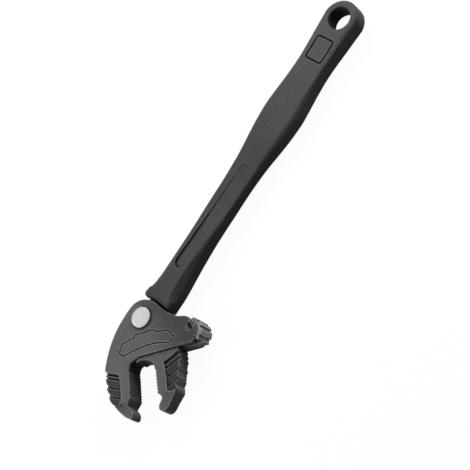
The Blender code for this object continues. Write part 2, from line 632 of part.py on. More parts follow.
def make_thumb_pad():
    low, high = MIDDLE - PAD_THICK / 2, MIDDLE + PAD_THICK / 2
    pad = rounded_plate("thumb_pad", edged(pad_outline(), PAD_EDGE), low, high, 2)
    reach = STAKE_RADIUS + SIDE_GAP
    top = RAIL_TOP + TOOTH_HIGH - SIDE_GAP
    rise = math.degrees(math.asin((top - PAD_CENTRE[1]) / reach))
    slot = [on_slide(*point) for point in arc(PAD_CENTRE, reach, rise, STAKE_SLOT_TURN)]
    slot += [on_slide(0, PAD_CENTRE[1] + reach), on_slide(0, top)]
    return cut(pad, plate("stake_slot", slot, MIDDLE - SLOT_WIDE / 2, MIDDLE + SLOT_WIDE / 2))


def handle_outline():
    side = smooth([(x * PIN_TO_HOLE, h * BELLY_HALF) for x, h in HANDLE_SHARES], 3)
    top = [(x, h - HANDLE_DROP) for x, h in side]
    under = [(x, -h - HANDLE_DROP) for x, h in side[::-1]]
    eye = arc((PIN_TO_HOLE, -HANDLE_DROP), EYE_RADIUS, EYE_TURN, -EYE_TURN, EYE_STEPS)
    half = HANDLE_SHARES[0][1] * BELLY_HALF
    low_x, high_x = (share * HEAD_SPAN for share in SHOULDER_CORNER_SHARES)
    shoulder = [(low_x, -half - HANDLE_DROP)] + handle_end_points(SHOULDER_SHARES)
    shoulder.append((high_x, half - HANDLE_DROP))
    rounded = [(x, y, share * HANDLE_ROUND) for (x, y), share in zip(shoulder, SHOULDER_ROUND_SHARES)]
    return edged(top, HANDLE_ROUND) + edged(eye, EYE_ROUND) + edged(under, HANDLE_ROUND) + rounded


def tongue_outline():
    """The tongue: an eye about the pin, a flat for the plunger and the toothed nose over the rack."""
    lug = (-LAND_AT, PLUNGER_LINE + PLUNGER_RADIUS + LUG_WALL)
    lug_turn = math.degrees(math.acos(-LAND_AT / TONGUE_RADIUS))
    eye = arc((0, 0), TONGUE_RADIUS, *TONGUE_EYE_ARC)
    low = arc((0, 0), TONGUE_RADIUS, 360 - lug_turn, TONGUE_LOW_END, SHORT_ARC_STEPS)
    tips = RAIL_TOP - NOSE_GAP
    nose = [(NOSE_START - NOSE_HEEL, tips - TOOTH_HIGH)]
    for k in range(NOSE_TEETH):
        start = NOSE_START + TOOTH_PITCH * k
        nose += [(start + TOOTH_PITCH * NOSE_LAND_SHARE, tips), (start + TOOTH_PITCH, tips - TOOTH_HIGH)]
    end = nose[-1][0]
    nose += [(end + u * HEAD_SPAN, tips - v * HEAD_SPAN) for u, v in NOSE_BACK_SHARES]
    return eye + [lug] + low + [on_slide(u, v) for u, v in nose] + handle_end_points(NECK_SHARES)


def make_handle():
    low, high = MIDDLE - HANDLE_THICK / 2, MIDDLE + HANDLE_THICK / 2
    handle = rounded_plate("handle", handle_outline(), low, high, 4)
    half = SLOT_WIDE / 2 - SIDE_GAP
    join(handle, plate("tongue", tongue_outline(), MIDDLE - half, MIDDLE + half))
    bored(handle, (0, 0), PIN_RADIUS + 2 * FIT + BUSHING_WALL, -MARGIN, HEAD_THICK + MARGIN)
    wide = HOLE_RADIUS + HOLE_CHAMFER + MARGIN
    hole = [(wide, low - MARGIN), (HOLE_RADIUS, low + HOLE_CHAMFER), (HOLE_RADIUS, high - HOLE_CHAMFER),
            (wide, high + MARGIN)]
    cut(handle, turned("eye_hole", hole, (PIN_TO_HOLE, -HANDLE_DROP)))
    for face, way in both_faces(HANDLE_THICK):
        panel = arc(on_handle(PANEL_END_SHARES), PANEL_END_RADIUS, -90, 90)
        panel += arc(on_handle(PANEL_START_SHARES), PANEL_START_RADIUS, 90, 270)
        deep = sorted((face + way * PANEL_DEEP, face - way * MARGIN))
        cut(handle, plate("panel", panel, *deep))
        frame = rounded_box_outline(on_handle(FRAME_SHARES), FRAME_LONG, FRAME_WIDE, FRAME_ROUND)
        cut(handle, line_cutter("frame", frame, FRAME_LINE, FRAME_DEEP, face))
    return handle


def make_pivot_pin():
    top = HEAD_THICK + FIT + PIN_HEAD_THICK
    step = RING_THICK + FIT
    profile = [(TAIL_RADIUS, 0), (TAIL_RADIUS, step), (PIN_RADIUS, step), (PIN_RADIUS, HEAD_THICK + FIT),
               (PIN_HEAD_RADIUS, HEAD_THICK + FIT), (PIN_HEAD_RADIUS, top - PIN_CHAMFER),
               (PIN_HEAD_RADIUS - PIN_CHAMFER, top)]
    return turned("pivot_pin", profile, (0, 0))


def sleeve(name, centre, inner, outer, bottom, top, sides=ROUND_SIDES):
    tube = cylinder(name, centre, outer, bottom, top, sides)
    return bored(tube, centre, inner, bottom - MARGIN, top + MARGIN, sides)


def make_cheek_screw():
    centre = screw_at()
    under = HEAD_THICK - SCREW_HEAD_THICK
    profile = [(SCREW_RADIUS, SCREW_SHORT), (SCREW_RADIUS, under), (SCREW_HEAD_RADIUS, under),
               (SCREW_HEAD_RADIUS, HEAD_THICK)]
    screw = turned("cheek_screw", profile, centre, SMALL_SIDES)
    reach, half = SCREW_HEAD_RADIUS + MARGIN, SCREW_SLOT_WIDE / 2
    along = Vector((math.cos(SCREW_SLOT_TURN), math.sin(SCREW_SLOT_TURN))) * reach
    across = Vector((-math.sin(SCREW_SLOT_TURN), math.cos(SCREW_SLOT_TURN))) * half
    corners = [tuple(Vector(centre) + along * a + across * b)
               for a, b in ((1, 1), (-1, 1), (-1, -1), (1, -1))]
    return cut(screw, plate("screw_slot", corners, HEAD_THICK - SCREW_SLOT_DEEP, HEAD_THICK + MARGIN))


def backwards(x):
    """Turns what is made about Z to run backwards along the plunger's line, from x."""
    return Matrix.Translation((x, PLUNGER_LINE, MIDDLE)) @ Matrix.Rotation(-math.pi / 2, 4, "Y")


def make_plunger():
    """A round-nosed plunger along X, its nose against the tongue's flat."""
    nose = PLUNGER_RADIUS - FIT
    profile = [(nose, PLUNGER_LONG)]
    for k in range(1, PLUNGER_NOSE_STEPS):
        turn = math.pi / 2 * k / PLUNGER_NOSE_STEPS
        profile.append((nose * math.cos(turn), nose * (1 - math.sin(turn))))
    plunger = turned("handle_plunger", profile[::-1], (0, 0), SMALL_SIDES)
    plunger.data.transform(backwards(-LAND_AT - FIT))
    return plunger


def coil(name, length, radius, wire, coils, place):
    """A spring as one tube, wound about Z from 0 to length and then set in place. Prints its least gap."""
    rise = (length - 2 * wire) / coils
    print(name, "least gap to itself", round((rise - 2 * wire) / MM, 2), "mm")
    rings = []
    lean = math.atan2(rise, 2 * math.pi * radius)
    for k in range(coils * COIL_POINTS + 1):
        turn = 2 * math.pi * k / COIL_POINTS
        out = Vector((math.cos(turn), math.sin(turn), 0))
        ahead = Vector((-math.sin(turn) * math.cos(lean), math.cos(turn) * math.cos(lean), math.sin(lean)))
        up = out.cross(ahead)
        centre = out * radius + Vector((0, 0, wire + rise * k / COIL_POINTS))
        rings.append([tuple(centre + out * wire * math.cos(a) + up * wire * math.sin(a))
                      for a in (2 * math.pi * j / WIRE_SIDES for j in range(WIRE_SIDES))])
    spring = stacked(name, rings)
    spring.data.transform(place)
    return spring


def make_springs():
    """Both springs, each wound about Z and turned into its bore or window."""
    c, s = math.cos(SLIDE_ANGLE), math.sin(SLIDE_ANGLE)
    along_slide = Matrix(((0, -s, c, 0), (0, c, s, 0), (-1, 0, 0, 0), (0, 0, 0, 1)))
    start = WINDOW_START + FIT
    end = SPRING_PIN_AT - SPRING_PIN_RADIUS - FIT
    x, y = on_slide(start, SPRING_LINE)
    jaw_spring = coil("jaw_spring", end - start, JAW_COIL_RADIUS, JAW_WIRE_RADIUS, JAW_COILS,
                      Matrix.Translation((x, y, MIDDLE)) @ along_slide)
    place = backwards(-LAND_AT - 2 * FIT - PLUNGER_LONG)
    handle_spring = coil("handle_spring", HANDLE_SPRING_LONG, HANDLE_COIL_RADIUS, HANDLE_WIRE_RADIUS,
                         HANDLE_COILS, place)
    return jaw_spring, handle_spring


def coated(name, colour, metallic, roughness):
    material = bpy.data.materials.new(name)
    material.use_nodes = True
    shader = material.node_tree.nodes["Principled BSDF"]
    shader.inputs["Base Color"].default_value = (*colour, 1)
    shader.inputs["Metallic"].default_value = metallic
    shader.inputs["Roughness"].default_value = roughness
    return material


def finish(piece, material, origin):
    """Gives a piece its material and its origin, and shades its round faces smooth."""
    piece.data.transform(Matrix.Translation([-value for value in origin]))
    piece.location = origin
    piece.data.materials.clear()
    piece.data.materials.append(material)
    bpy.ops.object.select_all(action="DESELECT")
    piece.select_set(True)
    bpy.context.view_layer.objects.active = piece
    bpy.ops.object.shade_smooth_by_angle(angle=SMOOTH_ANGLE)


def main():
    for thing in list(bpy.data.objects):
        bpy.data.objects.remove(thing)
    black = (0.030, 0.031, 0.033)
    grey = (0.055, 0.057, 0.060)
    steel = (0.52, 0.52, 0.51)
    on_pin = (0, 0, 0)
    jaw_at = (*on_slide(0, SPRING_LINE), MIDDLE)
    screw_origin = (*screw_at(), MIDDLE)
    spring_pin_at = (*on_slide(SPRING_PIN_AT, SPRING_LINE), MIDDLE)
    plunger_at = (-LAND_AT, PLUNGER_LINE, MIDDLE)
    low, high = MIDDLE - SLOT_WIDE / 2 + SIDE_GAP, MIDDLE + SLOT_WIDE / 2 - SIDE_GAP
    jaw_spring, handle_spring = make_springs()
    finish(make_head(), coated("head_coating", black, 0.35, 0.48), on_pin)
    finish(make_handle(), coated("handle_coating", black, 0.35, 0.46), on_pin)
    finish(make_movable_jaw(), coated("jaw_coating", grey, 0.5, 0.42), jaw_at)
    finish(make_thumb_pad(), coated("pad_coating", grey, 0.6, 0.38), jaw_at)
    finish(make_pivot_pin(), coated("pin_steel", steel, 1.0, 0.28), on_pin)
    ring = sleeve("pivot_back_ring", (0, 0), TAIL_RADIUS + FIT, RING_RADIUS, 0, RING_THICK)
    finish(ring, coated("ring_steel", steel, 1.0, 0.35), on_pin)
    bushing = sleeve("pivot_bushing", (0, 0), PIN_RADIUS + FIT, PIN_RADIUS + FIT + BUSHING_WALL, low, high)
    finish(bushing, coated("bushing_bronze", (0.45, 0.27, 0.10), 1.0, 0.35), on_pin)
    finish(make_cheek_screw(), coated("screw_steel", grey, 0.8, 0.4), screw_origin)
    spacer = sleeve("cheek_spacer", screw_at(), SCREW_RADIUS + FIT, SPACER_RADIUS, low, high,
                    SMALL_SIDES)
    finish(spacer, coated("spacer_steel", steel, 1.0, 0.4), screw_origin)
    spring_pin = cylinder("jaw_spring_pin", spring_pin_at, SPRING_PIN_RADIUS, FIT, SPRING_PIN_TOP,
                          SMALL_SIDES)
    finish(spring_pin, coated("spring_pin_steel", grey, 0.8, 0.4), spring_pin_at)
    finish(make_plunger(), coated("plunger_steel", steel, 1.0, 0.3), plunger_at)
    finish(jaw_spring, coated("jaw_spring_steel", steel, 1.0, 0.35), jaw_at)
    finish(handle_spring, coated("handle_spring_steel", steel, 1.0, 0.35), plunger_at)


main()
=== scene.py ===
"""The looks of the adjustable ratchet wrench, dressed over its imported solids."""

import math

import bmesh
import bpy
from mathutils import Matrix, Vector


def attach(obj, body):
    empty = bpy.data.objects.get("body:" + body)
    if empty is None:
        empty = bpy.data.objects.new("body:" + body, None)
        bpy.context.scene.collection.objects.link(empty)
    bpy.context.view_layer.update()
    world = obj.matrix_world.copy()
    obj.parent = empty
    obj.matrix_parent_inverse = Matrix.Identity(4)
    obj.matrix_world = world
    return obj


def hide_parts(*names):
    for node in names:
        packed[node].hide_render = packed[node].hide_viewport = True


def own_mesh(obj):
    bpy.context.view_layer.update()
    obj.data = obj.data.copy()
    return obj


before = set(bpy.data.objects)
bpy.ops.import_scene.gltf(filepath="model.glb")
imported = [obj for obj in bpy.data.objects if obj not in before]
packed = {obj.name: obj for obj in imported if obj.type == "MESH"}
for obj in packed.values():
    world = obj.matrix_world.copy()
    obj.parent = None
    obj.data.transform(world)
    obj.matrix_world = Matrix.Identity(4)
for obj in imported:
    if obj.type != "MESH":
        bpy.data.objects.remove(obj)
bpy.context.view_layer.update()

MM = 0.001
MIDDLE = 6.5 * MM
SLIDE_WAY = Vector((0.689620, -0.724172, 0))
SLIDE_RISE = Vector((-0.724172, -0.689620, 0))


def on_slide(u, v):
    """A point at middle height, given along the jaw's slide, u, and towards the jaw tips, v."""
    place = SLIDE_WAY * u + SLIDE_RISE * v
    return Vector((place.x, place.y, MIDDLE))


# Effects that several finishes share

FLOAT, VECTOR, COLOUR = "NodeSocketFloat", "NodeSocketVector", "NodeSocketColor"
RUBBED_AND_HIGHLIGHT_PATCH_SCALE = 700  # the scales of the noises are per metre
BLOTCH_SCALE, GRAIN_SCALE, FINE_GRAIN_SCALE = 45, 800, 2000
BLOTCH_DEPTH = 1.4
# painted shade, with oil and dust, in the hollows: how dark it is and how far it reaches
GRIME_AND_SHADE_TONE = 0.15
GRIME_AND_SHADE_REACH = 1.5 * MM
# paler edges, partly rubbed and partly painted highlight: how wide, and on steel how strong and how pale
RUBBED_AND_HIGHLIGHT_WIDTH, STEEL_RUBBED_AND_HIGHLIGHT_WIDTH = 1.0 * MM, 0.3 * MM
STEEL_RUBBED_AND_HIGHLIGHT_AMOUNT, STEEL_RUBBED_AND_HIGHLIGHT_GAIN = 0.3, 1.15


def new_group(name, inputs, outputs):
    """An empty node group, the sockets that its inputs come from, and those that its results go to."""
    group = bpy.data.node_groups.new(name, "ShaderNodeTree")
    for label, kind, value in inputs:
        socket = group.interface.new_socket(label, in_out="INPUT", socket_type=kind)
        if value is not None:
            socket.default_value = value
    for label, kind in outputs:
        group.interface.new_socket(label, in_out="OUTPUT", socket_type=kind)
    given = group.nodes.new("NodeGroupInput").outputs
    result = group.nodes.new("NodeGroupOutput").inputs
    return group, given, result


def plug(tree, value, socket):
    """Sets a socket to a plain value, or links another node's output to it."""
    if isinstance(value, (int, float, tuple)):
        socket.default_value = value
    else:
        tree.links.new(value, socket)


def maths(tree, operation, a, b=0.0, clamp=False):
    node = tree.nodes.new("ShaderNodeMath")
    node.operation = operation
    node.use_clamp = clamp
    plug(tree, a, node.inputs[0])
    plug(tree, b, node.inputs[1])
    return node.outputs[0]


def weighted_sum(tree, *parts):
    """Adds up pairs of a value and its weight."""
    total = None
    for value, weight in parts:
        part = maths(tree, "MULTIPLY", value, weight)
        total = part if total is None else maths(tree, "ADD", total, part)
    return total


def about_zero(tree, value, reach):
    """Moves a value from about a half to about zero, and stretches it by reach."""
    return maths(tree, "MULTIPLY", maths(tree, "SUBTRACT", value, 0.5), reach)


def vector_maths(tree, operation, a, b=None, output="Vector"):
    node = tree.nodes.new("ShaderNodeVectorMath")
    node.operation = operation
    plug(tree, a, node.inputs[0])
    if b is not None:
        plug(tree, b, node.inputs[1])
    return node.outputs[output]


def ramp(tree, value, low, high, to_low=0.0, to_high=1.0):
    node = tree.nodes.new("ShaderNodeMapRange")
    for label, limit in (("From Min", low), ("From Max", high), ("To Min", to_low), ("To Max", to_high)):
        plug(tree, limit, node.inputs[label])
    tree.links.new(value, node.inputs["Value"])
    return node.outputs["Result"]


def own_place(tree):
    """Where a point lies in the piece's own frame."""
    return tree.nodes.new("ShaderNodeTexCoord").outputs["Object"]


def noise(tree, place, scale, detail=2.0, roughness=0.5):
    node = tree.nodes.new("ShaderNodeTexNoise")
    node.inputs["Scale"].default_value = scale
    node.inputs["Detail"].default_value = detail
    node.inputs["Roughness"].default_value = roughness
    tree.links.new(place, node.inputs["Vector"])
    return node.outputs["Fac"]


def noise_line(tree, along):
    """Noise that changes along one value only."""
    line = tree.nodes.new("ShaderNodeTexNoise")
    line.noise_dimensions = "1D"
    line.inputs["Scale"].default_value = 1.0
    line.inputs["Detail"].default_value = 3.0
    tree.links.new(along, line.inputs["W"])
    return line.outputs["Fac"]


def near_surface(tree, radius, inside):
    """How open the surroundings are within radius: outside the surface, or inside the body."""
    node = tree.nodes.new("ShaderNodeAmbientOcclusion")
    node.samples = 8
    node.inside = inside
    node.only_local = inside
    tree.links.new(radius, node.inputs["Distance"])
    return node.outputs["AO"]


def brightened(tree, colour, share):
    """A colour with its brightness multiplied by share."""
    node = tree.nodes.new("ShaderNodeHueSaturation")
    plug(tree, colour, node.inputs["Color"])
    plug(tree, share, node.inputs["Value"])
    return node.outputs["Color"]


def rubbed_and_highlighted_edges_group():
    """Rubbed edges and painted highlight: 1 along an outer edge, broken up by small patches."""
    tree, given, result = new_group(
        "rubbed_and_highlighted_edges", [("Radius", FLOAT, RUBBED_AND_HIGHLIGHT_WIDTH), ("Amount", FLOAT, 1.0)], [("Mask", FLOAT)])
    edge = ramp(tree, near_surface(tree, given["Radius"], True), 0.90, 0.68)
    patches = ramp(tree, noise(tree, own_place(tree), RUBBED_AND_HIGHLIGHT_PATCH_SCALE, 4), 0.40, 0.56, 0.25, 1)
    rubbed_and_highlight = maths(tree, "MULTIPLY", edge, patches)
    tree.links.new(maths(tree, "MULTIPLY", rubbed_and_highlight, given["Amount"], True), result["Mask"])
    return tree


def grime_and_painted_shade_group():
    """Painted shade, with oil and dust: 1 deep in a groove or an inner corner."""
    tree, given, result = new_group(
        "grime_and_painted_shade", [("Reach", FLOAT, GRIME_AND_SHADE_REACH), ("Amount", FLOAT, 1.0)], [("Mask", FLOAT)])
    deep = ramp(tree, near_surface(tree, given["Reach"], False), 0.96, 0.66)
    tree.links.new(maths(tree, "MULTIPLY", deep, given["Amount"], True), result["Mask"])
    return tree


def blasted_skin_group():
    """A blasted and blackened forging: fine grain, wide soft blotches, and a height to bump with."""
    tree, given, result = new_group(
        "blasted_skin", [("Colour", COLOUR, None), ("Blotch", FLOAT, BLOTCH_DEPTH), ("Matt", FLOAT, 0.5)],
        [("Colour", COLOUR), ("Roughness", FLOAT), ("Height", FLOAT)])
    where = own_place(tree)
    wide = noise(tree, where, BLOTCH_SCALE, 3, 0.55)
    middling = noise(tree, where, GRAIN_SCALE, 3, 0.6)
    fine = noise(tree, where, FINE_GRAIN_SCALE, 2, 0.6)
    mottled = weighted_sum(tree, (wide, 0.3), (middling, 0.35), (fine, 0.35))
    shift = about_zero(tree, mottled, given["Blotch"])
    tone = brightened(tree, given["Colour"], maths(tree, "ADD", shift, 1.0))
    tree.links.new(tone, result["Colour"])
    polish = about_zero(tree, middling, 0.22)
    tree.links.new(maths(tree, "ADD", polish, given["Matt"], True), result["Roughness"])
    tree.links.new(weighted_sum(tree, (fine, 0.5), (middling, 0.5)), result["Height"])
    return tree


def slide_box_group():
    """1 inside a stretch of the slide frame, and no further than half a thickness from the middle."""
    limits = ("Low U", "High U", "Low V", "High V", "Half Thickness")
    tree, given, result = new_group(
        "slide_box", [(label, FLOAT, 0.0) for label in limits], [("Mask", FLOAT)])
    where = own_place(tree)
    soft = 0.4 * MM
    mask = None
    for way, low, high in ((SLIDE_WAY, "Low U", "High U"), (SLIDE_RISE, "Low V", "High V")):
        along = vector_maths(tree, "DOT_PRODUCT", where, tuple(way), "Value")
        for limit, side in ((low, 1), (high, -1)):
            past = maths(tree, "SUBTRACT", along, given[limit])
            inside = ramp(tree, past, -side * soft, side * soft)
            mask = inside if mask is None else maths(tree, "MULTIPLY", mask, inside)
    height = vector_maths(tree, "DOT_PRODUCT", where, (0.0, 0.0, 1.0), "Value")
    off_middle = maths(tree, "ABSOLUTE", maths(tree, "SUBTRACT", height, MIDDLE))
    above = maths(tree, "SUBTRACT", off_middle, given["Half Thickness"])
    below = ramp(tree, above, -0.05 * MM, -0.35 * MM)
    tree.links.new(maths(tree, "MULTIPLY", mask, below), result["Mask"])
    return tree


def slow_change_group():
    """Goes from 0 at one place to 1 at another, along the line between them."""
    tree, given, result = new_group(
        "slow_change", [("From", VECTOR, None), ("Along", VECTOR, None)], [("Mask", FLOAT)])
    off = vector_maths(tree, "SUBTRACT", own_place(tree), given["From"])
    reach = vector_maths(tree, "DOT_PRODUCT", off, given["Along"], "Value")
    eased = tree.nodes.new("ShaderNodeMapRange")
    eased.interpolation_type = "SMOOTHSTEP"
    tree.links.new(reach, eased.inputs["Value"])
    tree.links.new(eased.outputs["Result"], result["Mask"])
    return tree


def lathe_marks_group():
    """Fine rings about an upright axis, as a lathe or a polishing wheel leaves them."""
    tree, given, result = new_group(
        "lathe_marks", [("Centre", VECTOR, None), ("Pitch", FLOAT, 0.35 * MM), ("Matt", FLOAT, 0.0)],
        [("Height", FLOAT), ("Roughness", FLOAT)])
    off = vector_maths(tree, "SUBTRACT", own_place(tree), given["Centre"])
    level = vector_maths(tree, "MULTIPLY", off, (1, 1, 0))
    reach = vector_maths(tree, "LENGTH", level, output="Value")
    stripe = noise_line(tree, maths(tree, "DIVIDE", reach, given["Pitch"]))
    tree.links.new(stripe, result["Height"])
    rough = ramp(tree, stripe, 0.3, 0.7, 0.26, 0.42)
    tree.links.new(maths(tree, "ADD", rough, given["Matt"], True), result["Roughness"])
    return tree


RUBBED_AND_HIGHLIGHTED_EDGES = rubbed_and_highlighted_edges_group()
GRIME_AND_PAINTED_SHADE = grime_and_painted_shade_group()
BLASTED_SKIN = blasted_skin_group()
SLIDE_BOX = slide_box_group()
SLOW_CHANGE = slow_change_group()
LATHE_MARKS = lathe_marks_group()


def place_group(tree, group, values):
    node = tree.nodes.new("ShaderNodeGroup")
    node.node_tree = group
    for label, value in values.items():
        node.inputs[label].default_value = value
    return node


def empty_material(name):
    material = bpy.data.materials.new(name)
    material.use_nodes = True
    tree = material.node_tree
    return material, tree, tree.nodes["Principled BSDF"]


def blend_colour(tree, mask, base, over):
    mix = tree.nodes.new("ShaderNodeMix")
    mix.data_type = "RGBA"
    tree.links.new(mask, mix.inputs["Factor"])
    plug(tree, base, mix.inputs["A"])
    plug(tree, over, mix.inputs["B"])
    return mix.outputs["Result"]


def bump(tree, shader, height, strength, depth, soften):
    """Bumps the surface by height, over edges that look rounded by soften."""
    node = tree.nodes.new("ShaderNodeBump")
    node.inputs["Strength"].default_value = strength
    node.inputs["Distance"].default_value = depth
    tree.links.new(height, node.inputs["Height"])
    rounded = tree.nodes.new("ShaderNodeBevel")
    rounded.samples = 6
    rounded.inputs["Radius"].default_value = soften
    tree.links.new(rounded.outputs["Normal"], node.inputs["Normal"])
    tree.links.new(node.outputs["Normal"], shader.inputs["Normal"])


def forged_coating(name, colour, rubbed_and_highlight, patches=(), change=None, metallic=0.0, matt=0.5, rubbed_and_highlight_amount=0.7,
                   sheen=0.015, grime_and_shade_amount=0.9):
    """The dark satin finish of the forgings: paler on its rubbed edges, with painted highlight, and darker
    in its hollows, with painted shade, oil and dust.

    patches are (where, colour) in the slide frame, most of them painted shade and one painted light, and
    change is a painted gradient of light: (from, to, share of brightness at its end).
    """
    material, tree, shader = empty_material(name)
    skin = place_group(tree, BLASTED_SKIN, {"Colour": (*colour, 1), "Blotch": BLOTCH_DEPTH, "Matt": matt})
    tone = skin.outputs["Colour"]
    # a painted gradient of light
    if change:
        start, end, share = change
        line = Vector(end) - Vector(start)
        along = tuple(line / line.length_squared)
        ease = place_group(tree, SLOW_CHANGE, {"From": start, "Along": along})
        tone = brightened(tree, tone, ramp(tree, ease.outputs["Mask"], 0, 1, 1, share))
    # patches of colour, most of them painted shade and one painted light
    for where, patch in patches:
        inside = place_group(tree, SLIDE_BOX, where).outputs["Mask"]
        tone = blend_colour(tree, inside, tone, (*patch, 1))
    # painted shade, with oil and dust, in the hollows
    hollows = place_group(tree, GRIME_AND_PAINTED_SHADE, {"Reach": GRIME_AND_SHADE_REACH, "Amount": grime_and_shade_amount})
    grime_and_shade_colour = tuple(GRIME_AND_SHADE_TONE * part for part in colour)
    tone = blend_colour(tree, hollows.outputs["Mask"], tone, (*grime_and_shade_colour, 1))
    # paler edges, partly rubbed and partly painted highlight
    edges = place_group(tree, RUBBED_AND_HIGHLIGHTED_EDGES, {"Radius": RUBBED_AND_HIGHLIGHT_WIDTH, "Amount": rubbed_and_highlight_amount})
    tone = blend_colour(tree, edges.outputs["Mask"], tone, (*rubbed_and_highlight, 1))
    tree.links.new(tone, shader.inputs["Base Color"])
    tree.links.new(skin.outputs["Roughness"], shader.inputs["Roughness"])
    shader.inputs["Metallic"].default_value = metallic
    shader.inputs["Specular IOR Level"].default_value = sheen
    bump(tree, shader, skin.outputs["Height"], 0.7, 0.3 * MM, 0.25 * MM)
    return material


def turned_steel(name, colour, centre, pitch=0.35 * MM, matt=0.0):
    """Bright steel with fine turning marks about an upright axis through centre."""
    material, tree, shader = empty_material(name)
    marks = place_group(tree, LATHE_MARKS, {"Centre": tuple(centre), "Pitch": pitch, "Matt": matt})
    # paler edges, partly rubbed and partly painted highlight
    edges = place_group(tree, RUBBED_AND_HIGHLIGHTED_EDGES, {"Radius": STEEL_RUBBED_AND_HIGHLIGHT_WIDTH, "Amount": STEEL_RUBBED_AND_HIGHLIGHT_AMOUNT})
    bright = tuple(min(1, part * STEEL_RUBBED_AND_HIGHLIGHT_GAIN) for part in colour)
    tone = blend_colour(tree, edges.outputs["Mask"], (*colour, 1), (*bright, 1))
    tree.links.new(tone, shader.inputs["Base Color"])
    tree.links.new(marks.outputs["Roughness"], shader.inputs["Roughness"])
    shader.inputs["Metallic"].default_value = 1.0
    bump(tree, shader, marks.outputs["Height"], 0.5, 0.005 * MM, 0.15 * MM)
    return material


# Modelling

def start_afresh():
    if bpy.context.object and bpy.context.object.mode != "OBJECT":
        bpy.ops.object.mode_set(mode="OBJECT")
    bpy.ops.object.select_all(action="DESELECT")


def work_on(thing):
    start_afresh()
    thing.select_set(True)
    bpy.context.view_layer.objects.active = thing


def edit_all(thing):
    """Leaves edit mode on with all of the mesh selected."""
    work_on(thing)
    bpy.ops.object.mode_set(mode="EDIT")
    bpy.ops.mesh.select_all(action="SELECT")


def apply_all(thing):
    work_on(thing)
    for modifier in list(thing.modifiers):
        bpy.ops.object.modifier_apply(modifier=modifier.name)


def settle(thing):
    """Puts a finished piece's place in its mesh."""
    work_on(thing)
    bpy.ops.object.transform_apply(location=True, rotation=True, scale=True)


def shade_round(thing, angle=33):
    work_on(thing)
    bpy.ops.object.shade_smooth_by_angle(angle=math.radians(angle))
    thing.modifiers.new("even_normals", "WEIGHTED_NORMAL").keep_sharp = True
    apply_all(thing)


def finish_piece(piece, body, material, *nodes):
    """Gives a new piece its finish and its body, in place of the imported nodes."""
    piece.data.materials.clear()
    piece.data.materials.append(material)
    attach(piece, body)
    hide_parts(*nodes)


def dressed_copy(node, name, body, material, reshape=None):
    """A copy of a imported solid: triangles joined, reshaped where asked, and rounded edges shaded round."""
    piece = packed[node].copy()
    piece.data = packed[node].data.copy()
    piece.name = piece.data.name = name
    piece.parent = None
    for key in list(piece.keys()):
        del piece[key]
    bpy.context.scene.collection.objects.link(piece)
    edit_all(piece)
    bpy.ops.mesh.remove_doubles(threshold=0.002 * MM)
    bpy.ops.mesh.customdata_custom_splitnormals_clear()
    bpy.ops.mesh.dissolve_limited(angle_limit=math.radians(0.4))
    bpy.ops.mesh.normals_make_consistent(inside=False)
    bpy.ops.object.mode_set(mode="OBJECT")
    if reshape:
        reshape(piece)
    shade_round(piece)
    finish_piece(piece, body, material, node)


# The forged bar's section at places along X: half its thickness, how much wider it is on each side than the
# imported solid, its front edge and how flat that edge is, its back edge, and the share of the panel's depth
PLACE, HALF_THICK, WIDER, FRONT_EDGE, FLATNESS, BACK_EDGE, PANEL_SHARE = range(7)
BAR_UNITS = (MM, MM, MM, MM, 1, MM, 1)
BAR_PLACES = [[value * unit for value, unit in zip(row, BAR_UNITS)] for row in (
    (18, 6.0, 0.0, 3.0, 0.5, 3.0, 1.0),
    (21, 6.0, 0.0, 4.1, 0.9, 2.0, 1.0),
    (26, 6.0, 0.1, 4.3, 0.9, 1.6, 1.6),
    (41, 6.0, -0.1, 2.5, 0.8, 1.5, 1.8),
    (60, 5.0, 0.5, 1.6, 0.5, 1.5, 1.5),
    (79, 4.3, 1.2, 1.2, 0.2, 1.5, 0.7),
    (104, 4.1, 1.2, 1.5, 0.0, 1.8, 0.35),
    (120, 5.0, 0.6, 2.6, 0.0, 2.4, 0.35),
    (135, 5.8, 0.1, 3.4, 0.0, 3.0, 1.0),
    (152, 6.0, 0.0, 3.2, 0.0, 3.0, 1.0),
    (168, 5.7, -0.1, 2.0, 0.0, 2.0, 1.0),
    (185, 5.4, 0.0, 1.5, 0.0, 1.5, 1.0),
    (196, 5.9, 0.0, 1.6, 0.0, 1.6, 1.0),
    (203, 6.0, 0.0, 1.8, 0.0, 1.8, 1.0))]
BAR_START, BAR_END = 18.2 * MM, 201.5 * MM
BAR_MARGIN = 6 * MM  # the bar's sides are read this far past both ends
BAR_LINE = -1.5 * MM
BAR_HALF, BAR_ROUND = 6 * MM, 3 * MM
ROUND_ZONE = BAR_ROUND + 0.12 * MM
WALL_HALF = 3.1 * MM  # a point of the upright side is no further than this from the middle height
SIDE_NEAREST = 5 * MM  # and no nearer than this to the bar's line
EASE_REACH = 6 * MM
CUT_STEP = 3 * MM
PANEL_DEPTH = 1 * MM
FRAME_START = 176 * MM  # from here on, the line of the frame runs across the rounded edge


def between(x, places):
    """The value at x of a row of (x, value) places, straight from each to the next."""
    for (low, at_low), (high, at_high) in zip(places, places[1:]):
        if x <= high:
            share = min(max((x - low) / (high - low), 0), 1)
            return at_low + (at_high - at_low) * share
    return places[-1][1]


def bar_value(x, column):
    """A value of the bar's section at x, eased from place to place, and less so towards both ends."""
    places = [(row[PLACE], row[column]) for row in BAR_PLACES]
    reach = min(EASE_REACH, max(x - BAR_START, 0), max(BAR_END - x, 0))
    return sum(between(x + reach * step, places) for step in (-1, -0.5, 0, 0.5, 1)) / 5


